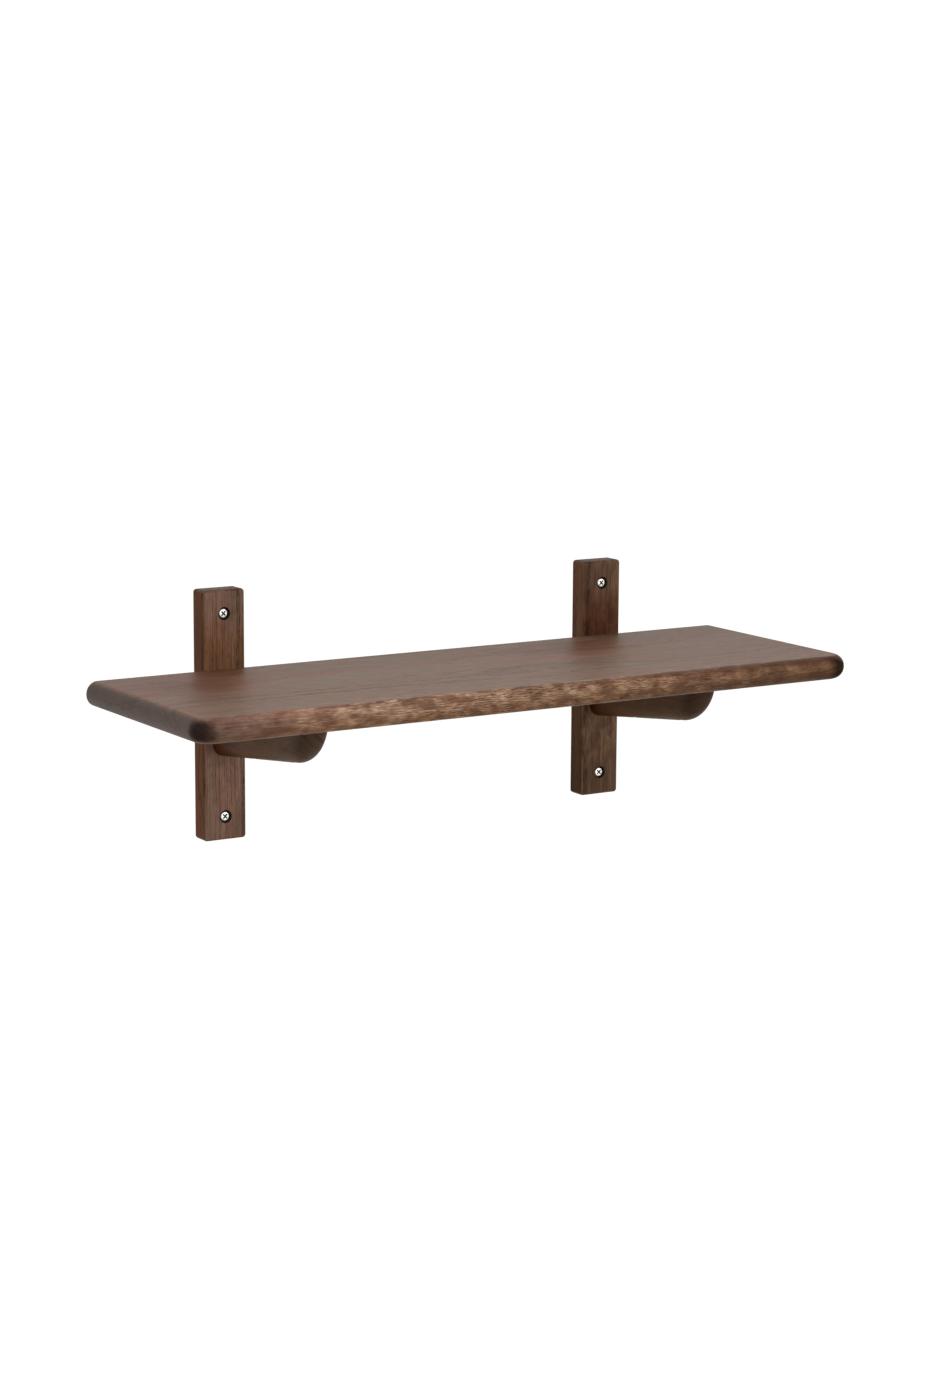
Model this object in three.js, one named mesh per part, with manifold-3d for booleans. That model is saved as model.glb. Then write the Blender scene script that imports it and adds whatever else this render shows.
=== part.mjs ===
// Wall shelf: one bullnosed board on two brackets, each an upright with a tapered arm.
// Sizes are millimetres. X runs along the wall, Y runs into it and Z is up.
// The origin is on the wall, at the centre of the pattern of the four wall screws.

import * as THREE from 'three';
import { mergeVertices } from 'three/addons/utils/BufferGeometryUtils.js';
import Module from 'manifold-3d';

// Board
const boardLength = 600;
const boardDepth = 192;
const boardThickness = 20;
const boardCornerRadius = 19;

// Uprights, which lie flat on the wall, and how high the board stands above their feet
const uprightHeight = 202;
const uprightWidth = 37;
const uprightThickness = 19;
const uprightEdgeRadius = 2.4;
const uprightCornerEasing = 0.4;
const boardRise = 118.5;

// Arms, which taper and end in a big round nose
const armLength = 158;
const armWidth = 22;
const armDepth = 50;
const armNoseRadius = 40;
const armRiseShare = 0.125;

// Round-overs on the board and the arms leave this much flat between them
const noseFlat = 0.8;

// Wall screws: pan head, seated in a counterbore in the upright's front.
// The pattern of the four is as wide as the two brackets are apart, middle to middle.
const patternWidth = 360;
const wallScrew = {
  shankRadius: 2,
  length: 40,
  tipLength: 5,
  headRadius: 4.2,
  headHeight: 2.8,
  headRim: 0.9,
  headRound: 1.4,
  recessSpan: 5,
  recessWidth: 1.3,
  recessDepth: 1.9,
};
const wallScrewInset = 19;
const wallBoreRadius = 5.2;
const wallBoreDepth = 4;

// Board screws: the same pan head, driven up through each arm
const boardScrew = { ...wallScrew };
const boardScrewBite = 14;
const boardScrewBackRun = 55;
const boardScrewFrontRun = 122;

// Arm screws: countersunk, driven through the upright's back into the arm's end
const armScrew = {
  shankRadius: 2.5,
  length: 60,
  tipLength: 6,
  headRadius: 4.7,
  headHeight: 2.7,
  headRim: 0.4,
  recessSpan: 5,
  recessWidth: 1.2,
  recessDepth: 2.2,
};
const armScrewUpperDrop = 12.5;
const armScrewLowerDrop = 34;

// Room round a screw in its bore, and how far a cutter runs past what it cuts
const clearance = 0.3;
const overrun = 4;

// Facets: steps round a quarter of each edge, and half of the steps round a quarter of each outline
const boardSteps = { edge: 8, outline: 6 };
const uprightSteps = { edge: 4, outline: 3 };
const armSteps = { edge: 8, outline: 9 };
const shownSides = 24;
const hiddenSides = 16;
const shoulderSteps = 4;
const weldDistance = 1e-4;

// Derived sizes and places
const boardEdgeRadius = (boardThickness - noseFlat) / 2;
const armEdgeRadius = (armWidth - noseFlat) / 2;
const uprightCornerRadius = uprightEdgeRadius + uprightCornerEasing;
const footZ = -uprightHeight / 2;
const boardUnderside = footZ + boardRise;
const boardBack = -uprightThickness;
const boardFront = boardBack - boardDepth;
const wallScrewZ = uprightHeight / 2 - wallScrewInset;
const boardScrewSeat = boardUnderside + boardScrewBite - boardScrew.length;
const boardScrewRuns = { back: boardScrewBackRun, front: boardScrewFrontRun };
const armScrewDrops = { upper: armScrewUpperDrop, lower: armScrewLowerDrop };

// Finishes
const stainedOak = { color: 0x5d4438, roughness: 0.45, metalness: 0 };
const zincSteel = { color: 0xc9c9c6, roughness: 0.3, metalness: 1 };

const wasm = await Module();
wasm.setup();

// A closed geometry with its shared vertices merged and its collapsed faces dropped, as a solid
function solidOf(geometry) {
  const bare = geometry.clone();
  bare.deleteAttribute('normal');
  bare.deleteAttribute('uv');
  const welded = mergeVertices(bare, weldDistance);
  const corners = welded.index.array;
  const kept = [];
  for (let i = 0; i < corners.length; i += 3) {
    const [a, b, c] = corners.slice(i, i + 3);
    if (a !== b && b !== c && c !== a) kept.push(a, b, c);
  }
  const vertProperties = new Float32Array(welded.attributes.position.array);
  const triVerts = new Uint32Array(kept);
  return new wasm.Manifold(new wasm.Mesh({ numProp: 3, vertProperties, triVerts }));
}

function geometryOf(solid) {
  const { vertProperties, triVerts } = solid.getMesh();
  const geometry = new THREE.BufferGeometry();
  geometry.setAttribute('position', new THREE.BufferAttribute(vertProperties, 3));
  geometry.setIndex(new THREE.BufferAttribute(triVerts, 1));
  geometry.computeVertexNormals();
  return geometry;
}

function meshOf(name, solid, finish) {
  const mesh = new THREE.Mesh(geometryOf(solid), new THREE.MeshStandardMaterial(finish));
  mesh.name = name;
  return mesh;
}

// A plate of this outline, from z 0 up, with both faces rounded over all the way round
function roundedPlate(outline, thickness, edgeRadius, steps) {
  const plate = new THREE.ExtrudeGeometry(outline, {
    depth: thickness - 2 * edgeRadius,
    bevelThickness: edgeRadius,
    bevelSize: edgeRadius,
    bevelOffset: -edgeRadius,
    bevelSegments: steps.edge,
    curveSegments: steps.outline,
  });
  return plate.translate(0, 0, edgeRadius);
}

// A box between two corners, used as a cutter
function blockBetween(low, high) {
  const size = high.clone().sub(low);
  const middle = low.clone().add(high).multiplyScalar(0.5);
  const box = new THREE.BoxGeometry(size.x, size.y, size.z);
  return solidOf(box.translate(middle.x, middle.y, middle.z));
}

// A round cutter along Y, from one depth to another
function boreAlongY(radius, x, z, fromY, toY, sides) {
  const bore = new THREE.CylinderGeometry(radius, radius, Math.abs(toY - fromY), sides);
  return solidOf(bore.translate(x, (fromY + toY) / 2, z));
}

// A round cutter along Z, from one height to another
function boreAlongZ(radius, x, y, fromZ, toZ, sides) {
  const bore = new THREE.CylinderGeometry(radius, radius, Math.abs(toZ - fromZ), sides);
  bore.rotateX(Math.PI / 2);
  return solidOf(bore.translate(x, y, (fromZ + toZ) / 2));
}

// Plan of the board: square at the wall side, which runs on so that its rounding is cut off
function boardOutline() {
  const half = boardLength / 2;
  const left = -half + boardCornerRadius;
  const right = half - boardCornerRadius;
  const cornerY = boardFront + boardCornerRadius;
  const blankBack = boardBack + boardEdgeRadius + overrun;
  const outline = new THREE.Shape();
  outline.moveTo(half, blankBack);
  outline.lineTo(-half, blankBack);
  outline.absarc(left, cornerY, boardCornerRadius, Math.PI, 1.5 * Math.PI, false);
  outline.absarc(right, cornerY, boardCornerRadius, -0.5 * Math.PI, 0, false);
  return outline;
}

// Front view of an upright, a rectangle with eased corners
function uprightOutline() {
  const x = uprightWidth / 2 - uprightCornerRadius;
  const z = uprightHeight / 2 - uprightCornerRadius;
  const outline = new THREE.Shape();
  outline.moveTo(0, -uprightHeight / 2);
  outline.lineTo(x / 2, -uprightHeight / 2);
  outline.absarc(x, -z, uprightCornerRadius, -0.5 * Math.PI, 0, false);
  outline.absarc(x, z, uprightCornerRadius, 0, 0.5 * Math.PI, false);
  outline.absarc(-x, z, uprightCornerRadius, 0.5 * Math.PI, Math.PI, false);
  outline.absarc(-x, -z, uprightCornerRadius, Math.PI, 1.5 * Math.PI, false);
  return outline;
}

// Height of the arm's underside below the board, at a run forward of the upright
function armUnderside(run) {
  return -armDepth + armRiseShare * run;
}

// Side view of an arm: run forward of the upright against height from the board's underside.
// The blank runs on past the upright and the board, so that its rounding there is cut off.
function armOutline() {
  const extra = armEdgeRadius + overrun;
  const tilt = Math.atan(armRiseShare);
  const noseRun = armLength - armNoseRadius;
  const noseHeight = armUnderside(noseRun) + armNoseRadius / Math.cos(tilt);
  const blankTop = Math.max(noseHeight, 0) + extra;
  const outline = new THREE.Shape();
  outline.moveTo(-extra, blankTop);
  outline.lineTo(-extra, armUnderside(-extra));
  outline.absarc(noseRun, noseHeight, armNoseRadius, tilt - Math.PI / 2, 0, false);
  outline.lineTo(armLength, blankTop);
  return outline;
}

// Pan head on the seat plane y 0, from the rim over a round shoulder to the flat top
function panHead(screw) {
  const rise = screw.headHeight - screw.headRim;
  const points = [new THREE.Vector2(screw.headRadius, 0)];
  for (let i = 0; i <= shoulderSteps; i += 1) {
    const angle = (i / shoulderSteps) * (Math.PI / 2);
    const radius = screw.headRadius - screw.headRound * (1 - Math.cos(angle));
    points.push(new THREE.Vector2(radius, screw.headRim + rise * Math.sin(angle)));
  }
  points.push(new THREE.Vector2(0, screw.headHeight));
  return points;
}

// Countersunk head below the plane y 0, flat on top
function sunkHead(screw) {
  return [
    new THREE.Vector2(screw.headRadius, -screw.headRim),
    new THREE.Vector2(screw.headRadius, 0),
    new THREE.Vector2(0, 0),
  ];
}

// Cross recess: two crossed wings on the diagonals, which narrow towards the bottom
function crossRecess(screw, topY) {
  const reach = screw.recessSpan / 2;
  const height = screw.recessDepth + overrun;
  const flare = reach * (height / screw.recessDepth);
  const wings = [-Math.PI / 4, Math.PI / 4].map((turn) => {
    const wing = new THREE.CylinderGeometry(flare * Math.SQRT2, 0, height, 4);
    wing.rotateY(Math.PI / 4);
    wing.scale(1, 1, screw.recessWidth / screw.recessSpan);
    wing.rotateY(turn);
    return solidOf(wing.translate(0, topY - screw.recessDepth + height / 2, 0));
  });
  return wings[0].add(wings[1]);
}

// A screw along Y, head towards +Y. The neck is where the head starts, and the tip is at -length.
function screwSolid(screw, head, neckY, sides) {
  const points = [
    new THREE.Vector2(0, -screw.length),
    new THREE.Vector2(screw.shankRadius, -screw.length + screw.tipLength),
    new THREE.Vector2(screw.shankRadius, neckY),
    ...head,
  ];
  const topY = head[head.length - 1].y;
  return solidOf(new THREE.LatheGeometry(points, sides)).subtract(crossRecess(screw, topY));
}

function panScrew(screw, sides) {
  return screwSolid(screw, panHead(screw), 0, sides);
}

function sunkScrew(screw, sides) {
  return screwSolid(screw, sunkHead(screw), -screw.headHeight, sides);
}

// The room for a countersunk head at the upright's back, a clearance wider than the head
function sinkCutter(screw, x, z) {
  const wide = screw.headRadius + clearance;
  const narrow = screw.shankRadius + clearance;
  const coneHeight = screw.headHeight - screw.headRim;
  const cone = new THREE.CylinderGeometry(wide, narrow, coneHeight, hiddenSides);
  const coneMiddle = -screw.headRim - coneHeight / 2;
  const rim = boreAlongY(wide, x, z, -screw.headRim, overrun, hiddenSides);
  return solidOf(cone.translate(x, coneMiddle, z)).add(rim);
}

function makeBoard() {
  const plate = roundedPlate(boardOutline(), boardThickness, boardEdgeRadius, boardSteps);
  plate.translate(0, 0, boardUnderside);
  const low = new THREE.Vector3(-boardLength, boardBack, boardUnderside - overrun);
  const top = boardUnderside + boardThickness + overrun;
  const high = new THREE.Vector3(boardLength, boardDepth, top);
  let board = solidOf(plate).subtract(blockBetween(low, high));
  const radius = boardScrew.shankRadius + clearance;
  const pilotTop = boardUnderside + boardScrewBite + clearance;
  for (const side of [-1, 1]) {
    for (const run of Object.values(boardScrewRuns)) {
      const x = (side * patternWidth) / 2;
      const y = boardBack - run;
      const from = boardUnderside - overrun;
      board = board.subtract(boreAlongZ(radius, x, y, from, pilotTop, hiddenSides));
    }
  }
  return meshOf('shelf_board', board, stainedOak);
}

function makeUpright(name) {
  const plate = roundedPlate(uprightOutline(), uprightThickness, uprightEdgeRadius, uprightSteps);
  plate.rotateX(Math.PI / 2);
  let upright = solidOf(plate);
  const front = -uprightThickness;
  const boreRadius = wallScrew.shankRadius + clearance;
  for (const z of [-wallScrewZ, wallScrewZ]) {
    const bore = boreAlongY(boreRadius, 0, z, front - overrun, overrun, shownSides);
    const seatY = front + wallBoreDepth;
    const counterbore = boreAlongY(wallBoreRadius, 0, z, front - overrun, seatY, shownSides);
    upright = upright.subtract(bore).subtract(counterbore);
  }
  const throughRadius = armScrew.shankRadius + clearance;
  for (const drop of Object.values(armScrewDrops)) {
    const z = boardUnderside - drop;
    const through = boreAlongY(throughRadius, 0, z, front - overrun, overrun, hiddenSides);
    upright = upright.subtract(through).subtract(sinkCutter(armScrew, 0, z));
  }
  return meshOf(name, upright, stainedOak);
}

function makeArm(name) {
  const plate = roundedPlate(armOutline(), armWidth, armEdgeRadius, armSteps);
  plate.rotateX(Math.PI / 2);
  plate.rotateZ(-Math.PI / 2);
  plate.translate(armWidth / 2, boardBack, boardUnderside);
  const half = armWidth / 2 + overrun;
  const low = new THREE.Vector3(-half, boardBack - armLength - overrun, footZ);
  const high = new THREE.Vector3(half, boardBack, boardUnderside);
  let arm = solidOf(plate).intersect(blockBetween(low, high));
  const radius = boardScrew.shankRadius + clearance;
  const headRoom = boardScrew.headRadius + 2 * clearance;
  for (const run of Object.values(boardScrewRuns)) {
    const y = boardBack - run;
    const top = boardUnderside + overrun;
    arm = arm.subtract(boreAlongZ(radius, 0, y, footZ, top, hiddenSides));
    arm = arm.subtract(boreAlongZ(headRoom, 0, y, footZ, boardScrewSeat, shownSides));
  }
  const pilotRadius = armScrew.shankRadius + clearance;
  const pilotEnd = -armScrew.length - clearance;
  for (const drop of Object.values(armScrewDrops)) {
    const z = boardUnderside - drop;
    const pilot = boreAlongY(pilotRadius, 0, z, pilotEnd, boardBack + overrun, hiddenSides);
    arm = arm.subtract(pilot);
  }
  return meshOf(name, arm, stainedOak);
}

function makeWallScrew(name, z) {
  const screw = meshOf(name, panScrew(wallScrew, shownSides), zincSteel);
  screw.rotation.x = Math.PI;
  screw.position.set(0, -uprightThickness + wallBoreDepth, z);
  return screw;
}

function makeBoardScrew(name, run) {
  const screw = meshOf(name, panScrew(boardScrew, hiddenSides), zincSteel);
  screw.rotation.x = -Math.PI / 2;
  screw.position.set(0, boardBack - run, boardScrewSeat);
  return screw;
}

function makeArmScrew(name, drop) {
  const screw = meshOf(name, sunkScrew(armScrew, hiddenSides), zincSteel);
  screw.position.set(0, 0, boardUnderside - drop);
  return screw;
}

// One bracket with all its screws, centred on its upright
function makeBracket(side, x) {
  const bracket = new THREE.Group();
  bracket.add(makeUpright(`${side}_upright`));
  bracket.add(makeArm(`${side}_arm`));
  bracket.add(makeWallScrew(`${side}_upper_wall_screw`, wallScrewZ));
  bracket.add(makeWallScrew(`${side}_lower_wall_screw`, -wallScrewZ));
  for (const [place, run] of Object.entries(boardScrewRuns)) {
    bracket.add(makeBoardScrew(`${side}_${place}_board_screw`, run));
  }
  for (const [place, drop] of Object.entries(armScrewDrops)) {
    bracket.add(makeArmScrew(`${side}_${place}_arm_screw`, drop));
  }
  bracket.position.x = x;
  return bracket;
}

const shelf = new THREE.Group();
shelf.name = 'wall_shelf';
shelf.add(makeBoard());
shelf.add(makeBracket('left', -patternWidth / 2));
shelf.add(makeBracket('right', patternWidth / 2));

export default shelf;
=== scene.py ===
import math
from functools import partial

import bmesh
import bpy
from mathutils import Matrix, Vector


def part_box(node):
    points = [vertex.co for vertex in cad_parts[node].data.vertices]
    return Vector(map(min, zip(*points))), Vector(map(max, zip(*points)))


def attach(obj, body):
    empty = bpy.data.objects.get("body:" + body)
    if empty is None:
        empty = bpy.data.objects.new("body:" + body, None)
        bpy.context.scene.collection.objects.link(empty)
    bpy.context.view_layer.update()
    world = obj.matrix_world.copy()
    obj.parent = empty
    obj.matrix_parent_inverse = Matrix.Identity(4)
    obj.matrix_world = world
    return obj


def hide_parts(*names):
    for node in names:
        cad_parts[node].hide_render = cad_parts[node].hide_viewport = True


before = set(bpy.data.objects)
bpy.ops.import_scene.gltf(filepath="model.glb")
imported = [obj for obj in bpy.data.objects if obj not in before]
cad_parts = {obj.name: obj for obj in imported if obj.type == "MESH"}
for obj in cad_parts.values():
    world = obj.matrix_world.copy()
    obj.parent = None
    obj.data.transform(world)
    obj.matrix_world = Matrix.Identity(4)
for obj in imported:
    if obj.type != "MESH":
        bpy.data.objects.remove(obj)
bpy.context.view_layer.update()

mm = 0.001
white = (1, 1, 1, 1)                             # as a tone, it leaves a colour as it is
eased = {"interpolation_type": "SMOOTHSTEP"}     # for a range that starts and stops softly
inColour = {"data_type": "RGBA"}                 # for a mix of two colours
noiseRange = (0.3, 0.7)                          # most values of a noise lie here
print("frame loaded:", len(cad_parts), "nodes")


def linear(hexColour):
    channels = []
    for start in (1, 3, 5):
        value = int(hexColour[start:start + 2], 16) / 255
        channels.append(value / 12.92 if value <= 0.04045 else ((value + 0.055) / 1.055) ** 2.4)
    return (*channels, 1)


def addNode(tree, kind, inputs=None, **settings):
    # An input takes a plain value, a socket, or a node, which stands for its first live output.
    # "From" and "To" take both ends of a range.
    node = tree.nodes.new(kind)
    for name, value in settings.items():
        setattr(node, name, value)
    wanted = {}
    for key, value in (inputs or {}).items():
        if key in ("From", "To"):
            wanted[key + " Min"], wanted[key + " Max"] = value
        else:
            wanted[key] = value
    for key, value in wanted.items():
        if isinstance(key, int):
            socket = node.inputs[key]
        else:
            socket = next(s for s in node.inputs if s.enabled and s.name == key)
        if isinstance(value, bpy.types.Node):
            value = next(s for s in value.outputs if s.enabled)
        if isinstance(value, bpy.types.NodeSocket):
            tree.links.new(value, socket)
        else:
            socket.default_value = value
    return node


def startMaterial(name):
    material = bpy.data.materials.new(name)
    material.use_nodes = True
    material.node_tree.nodes.clear()
    return material, partial(addNode, material.node_tree)


# Camera, floor and light

camera = {
    "place": (-1.28976, -2.18974, 0.44471),   # metres
    "yaw": 0.5509,          # radians to the right of straight at the wall
    "pitch": 0.1755,        # radians down
    "roll": 0.0054,
    "focalPixels": 3108.2,
    "photoHeight": 1400,
    "sensor": 36,           # mm, the photograph's height on it
    "farthest": 200,        # metres
}

studio = {
    "floorHeight": -2.6,    # metres, low enough to look up at the shelf's underside
    "floorSize": 80,
    "floorColour": "#e9e7e3",
    "floorLift": 0.6,       # what the camera sees on top of the floor's own shade, so that it reads white
    "fill": 0.52,           # the light of the white room round the shelf
    "keyFrom": (0.35, -1.0, -0.06),
    "keyStrength": 1.6,
    "keyAngle": 50,         # degrees across, a large softbox
}


def makeCamera():
    yaw, pitch, roll = camera["yaw"], camera["pitch"], camera["roll"]
    forward = Vector((math.sin(yaw) * math.cos(pitch), math.cos(yaw) * math.cos(pitch), -math.sin(pitch)))
    right = Vector((math.cos(yaw), -math.sin(yaw), 0))
    up = right.cross(forward)
    rolledRight = math.cos(roll) * right + math.sin(roll) * up
    rolledUp = math.cos(roll) * up - math.sin(roll) * right
    lens = bpy.data.cameras.new("photoCamera")
    lens.sensor_width = camera["sensor"]
    lens.lens = camera["focalPixels"] / camera["photoHeight"] * camera["sensor"]
    lens.clip_end = camera["farthest"]
    body = bpy.data.objects.new("photoCamera", lens)
    turn = Matrix((rolledRight, rolledUp, -forward)).transposed().to_4x4()
    body.matrix_world = Matrix.Translation(camera["place"]) @ turn
    bpy.context.scene.collection.objects.link(body)
    bpy.context.scene.camera = body


def seenRays(node):
    # 1 for what the camera sees directly, in gloss or through glass, 0 for light on the way to a surface
    path = node("ShaderNodeLightPath")
    gloss = node("ShaderNodeMath", {0: path.outputs["Is Camera Ray"], 1: path.outputs["Is Glossy Ray"]},
                 operation="MAXIMUM")
    return node("ShaderNodeMath", {0: gloss, 1: path.outputs["Is Transmission Ray"]}, operation="MAXIMUM")


def makeRoom():
    world = bpy.data.worlds.new("whiteRoom")
    world.use_nodes = True
    world.node_tree.nodes.clear()
    node = partial(addNode, world.node_tree)
    strength = node("ShaderNodeMapRange", {"Value": seenRays(node), "To": (studio["fill"], 1)})
    walls = node("ShaderNodeBackground", {"Color": white, "Strength": strength})
    node("ShaderNodeOutputWorld", {"Surface": walls})
    bpy.context.scene.world = world


def makeFloor():
    material, node = startMaterial("palePaintedFloor")   # matt white paint, no gloss
    paint = node("ShaderNodeBsdfDiffuse", {"Color": linear(studio["floorColour"])})
    lift = node("ShaderNodeMath", {0: seenRays(node), 1: studio["floorLift"]}, operation="MULTIPLY")
    glow = node("ShaderNodeEmission", {"Color": white, "Strength": lift})
    node("ShaderNodeOutputMaterial", {"Surface": node("ShaderNodeAddShader", {0: paint, 1: glow})})
    sheet = bmesh.new()
    bmesh.ops.create_grid(sheet, x_segments=1, y_segments=1, size=studio["floorSize"] / 2)
    mesh = bpy.data.meshes.new("studioFloor")
    sheet.to_mesh(mesh)
    sheet.free()
    mesh.materials.append(material)
    floor = bpy.data.objects.new("studioFloor", mesh)
    floor.location.z = studio["floorHeight"]
    bpy.context.scene.collection.objects.link(floor)


def makeKey():
    lamp = bpy.data.lights.new("softKey", "SUN")
    lamp.energy = studio["keyStrength"]
    lamp.angle = math.radians(studio["keyAngle"])
    key = bpy.data.objects.new("softKey", lamp)
    key.rotation_euler = Vector(studio["keyFrom"]).to_track_quat("Z", "Y").to_euler()
    bpy.context.scene.collection.objects.link(key)


makeCamera()
makeRoom()
makeFloor()
makeKey()
bpy.context.scene.view_settings.view_transform = "Standard"
print("camera, floor and light made")


# Dark stained oak. The sawn surfaces are sanded, stained and given a satin lacquer.
# The eye sees dark lines of open pores, pale ray flecks that take little stain, darker end grain
# that drinks it, and a soft sheen that turns grey at a low angle.

oak = {
    "earlywood": "#3f281c",
    "pore": "#2a1910",
    "fleck": "#d2ac88",
    "darkFibre": "#4f3022",
    "endGrain": "#34231a",
    "ior": 1.45,
    "logLength": 900,        # mm, along which each stave has its place
    "pieceStep": 7,          # moves each piece's patterns on from the last one's
    "sideFacing": (0.5, 0.95),     # how far a surface faces sideways where it turns to a narrow side
}

# Sizes in mm along the grain, across the width and through the depth. Real pores are about 0.3 mm
# wide, and are drawn twice as coarse so that they show.
oakPatterns = {
    "wander": {"size": (190, 60, 60), "detail": 1, "seed": 3.1},
    "waver": {"size": (42, 9, 9), "detail": 2, "seed": 11.7},
    "patch": {"size": (75, 14, 14), "detail": 2, "seed": 23.5},
    "tint": {"size": (130, 22, 22), "detail": 1, "seed": 31.9},
    "fibre": {"size": (40, 1.3, 1.3), "detail": 3, "seed": 47.3},
    "pores": {"size": (7, 0.6, 0.6), "detail": 2, "seed": 59.1},
    "eyes": {"size": (15, 8, 8), "detail": 2, "seed": 71.7},
    "squiggle": {"size": (7, 1.4, 1.4), "detail": 2, "seed": 83.3},
    "break": {"size": (6, 3, 3), "detail": 2, "seed": 97.9},
}

# Axes are the grain, the width and the depth. The pith is where the log's heart would be, in mm from
# the piece's centre across its width and depth. Ring and wander are mm too, and so are ends, between
# which the wood turns to end grain. The stain took unevenly: faceTones multiplies red, green and blue
# at the low and at the high end of the grain, sideTones does so on the narrow sides, and endTone on the
# end grain. On the arms the high end of faceTones, by the upright, is darker as painted shade, and the
# uprights' darker, redder tones above the board are painted shade.
uprightOak = {
    "axes": "ZXY", "ends": (98.8, 100.6), "bothEnds": True, "staveWidth": 400, "pithSpread": (0, 0),
    "wander": 16, "pores": 0.85, "streak": 0.25, "specular": 0.04, "roughness": (0.38, 0.48),
}
armOak = {
    "axes": "YZX", "ends": (48, 64), "bothEnds": False, "staveWidth": 400, "pithSpread": (0, 0),
    "ring": 4, "wander": 16, "earlywood": 0.2, "fleck": 0.05, "pores": 0.35, "streak": 0.08,
    "specular": 0.05, "roughness": (0.38, 0.48), "wood": ("#6f5340", "#6e4f3c"),
}
oakPieces = {
    "shelf_board": {
        "name": "boardOak", "axes": "XYZ", "staveWidth": 48, "pith": (0, -135), "pithSpread": (34, 50),
        "ring": 4.2, "wander": 20, "earlywood": 0.3, "fleck": 0.95, "pores": 0.5, "streak": 0.22,
        "specular": 0.44, "roughness": (0.45, 0.55), "wood": ("#775940", "#7b5139"),
        "faceTones": ((1.12, 1.03, 0.97), (1, 1, 1)), "sideTones": ((1, 1, 1), (1, 1, 1)),
        "endTone": (2.15, 2.25, 2.4),
    },
    "left_upright": {
        **uprightOak, "name": "leftUprightOak", "pith": (86, 22), "ring": 3.4, "earlywood": 0.6,
        "fleck": 0.16, "wood": ("#7a5e4b", "#7c5846"),
        "faceTones": ((1.2, 1.22, 1.4), (1.15, 1.26, 1.44)), "shadeAbove": (0.83, 0.68, 0.5),
        "sideTones": ((0.86, 0.58, 0.38), (0.8, 0.51, 0.33)), "sideShadeAbove": (0.86, 0.74, 0.64),
        "endTone": (3.2, 3.2, 3.2),
    },
    "right_upright": {
        **uprightOak, "name": "rightUprightOak", "pith": (-78, 30), "ring": 3.2, "earlywood": 0.55,
        "fleck": 0.3, "wood": ("#705a46", "#6e5240"),
        "faceTones": ((0.7, 0.67, 0.65), (0.92, 0.87, 0.92)), "shadeAbove": (0.61, 0.43, 0.35),
        "sideTones": ((0.54, 0.43, 0.29), (1.18, 0.9, 0.78)), "sideShadeAbove": (1, 1, 1),
        "endTone": (2.4, 2.4, 2.4),
    },
    # the arms' faceTones darken the high end, by the upright, as painted shade
    "left_arm": {
        **armOak, "name": "leftArmOak", "pith": (60, 40),
        "faceTones": ((0.88, 1, 1.06), (0.9, 0.76, 0.66)),
        "sideTones": ((0.8, 0.8, 0.8), (0.8, 0.8, 0.8)), "endTone": (2, 2.45, 2.55),
    },
    "right_arm": {
        **armOak, "name": "rightArmOak", "pith": (55, -60),
        "faceTones": ((0.76, 0.78, 0.8), (0.68, 0.5, 0.26)),
        "sideTones": ((0.7, 0.7, 0.7), (0.7, 0.7, 0.7)), "endTone": (1.75, 1.9, 1.85),
    },
}

boardEdge = {"round": 9.6, "corner": 19}   # mm, the bullnose and the front corners seen from above


def bullnoseDirection(node, parts, half):
    # the board's outward direction, worked out from the place so that it doesn't step from facet to facet
    corner = boardEdge["corner"]
    inner = (half.x - corner, half.y - corner, 0)
    side = node("ShaderNodeMath", {0: parts.outputs["X"]}, operation="ABSOLUTE")
    front = node("ShaderNodeMath", {0: parts.outputs["Y"], 1: -1}, operation="MULTIPLY")
    out = node("ShaderNodeCombineXYZ", {0: side, 1: front})
    out = node("ShaderNodeVectorMath", {0: out, 1: inner}, operation="SUBTRACT")
    out = node("ShaderNodeVectorMath", {0: out, 1: (0, 0, 0)}, operation="MAXIMUM")
    reach = node("ShaderNodeVectorMath", {0: out}, operation="LENGTH")
    bend = node("ShaderNodeMapRange", {"Value": reach, "From": (corner - boardEdge["round"], corner)})
    flatShare = node("ShaderNodeMath", {0: bend, 1: bend}, operation="MULTIPLY")
    flatShare = node("ShaderNodeMath", {0: 1, 1: flatShare}, operation="SUBTRACT")
    flatShare = node("ShaderNodeMath", {0: flatShare}, operation="SQRT")
    plan = node("ShaderNodeVectorMath", {0: out}, operation="NORMALIZE")
    plan = node("ShaderNodeVectorMath", {0: plan, "Scale": bend}, operation="SCALE")
    upward = node("ShaderNodeCombineXYZ", {2: flatShare})
    return node("ShaderNodeVectorMath", {0: plan, 1: upward}, operation="ADD")


def startWood(node, part, piece):
    # the place in mm from the piece's centre, and how far the surface faces along each of its axes
    low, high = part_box(part)
    halfGrain = (high - low)["XYZ".index(piece["axes"][0])] / 2 / mm
    source = node("ShaderNodeTexCoord")
    place = node("ShaderNodeVectorMath", {0: source.outputs["Object"], "Scale": 1 / mm}, operation="SCALE")
    place = node("ShaderNodeVectorMath", {0: place, 1: (low + high) / 2 / mm}, operation="SUBTRACT")
    parts = node("ShaderNodeSeparateXYZ", {0: place})
    if part == "shelf_board":
        outward = bullnoseDirection(node, parts, (high - low) / 2 / mm)
    else:
        outward = source.outputs["Normal"]
    turned = node("ShaderNodeSeparateXYZ", {0: outward})
    facing = [node("ShaderNodeMath", {0: turned.outputs[axis]}, operation="ABSOLUTE")
              for axis in piece["axes"]]
    axes = [parts.outputs[axis] for axis in piece["axes"]]
    return {
        "place": place, "parts": parts, "turned": turned, "facing": facing, "axes": axes,
        "halfGrain": halfGrain,
        "upGrain": node("ShaderNodeMapRange", {"Value": axes[0], "From": (-halfGrain, halfGrain)}),
        "side": node("ShaderNodeMapRange", {"Value": facing[1], "From": oak["sideFacing"]}, **eased),
    }


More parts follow.
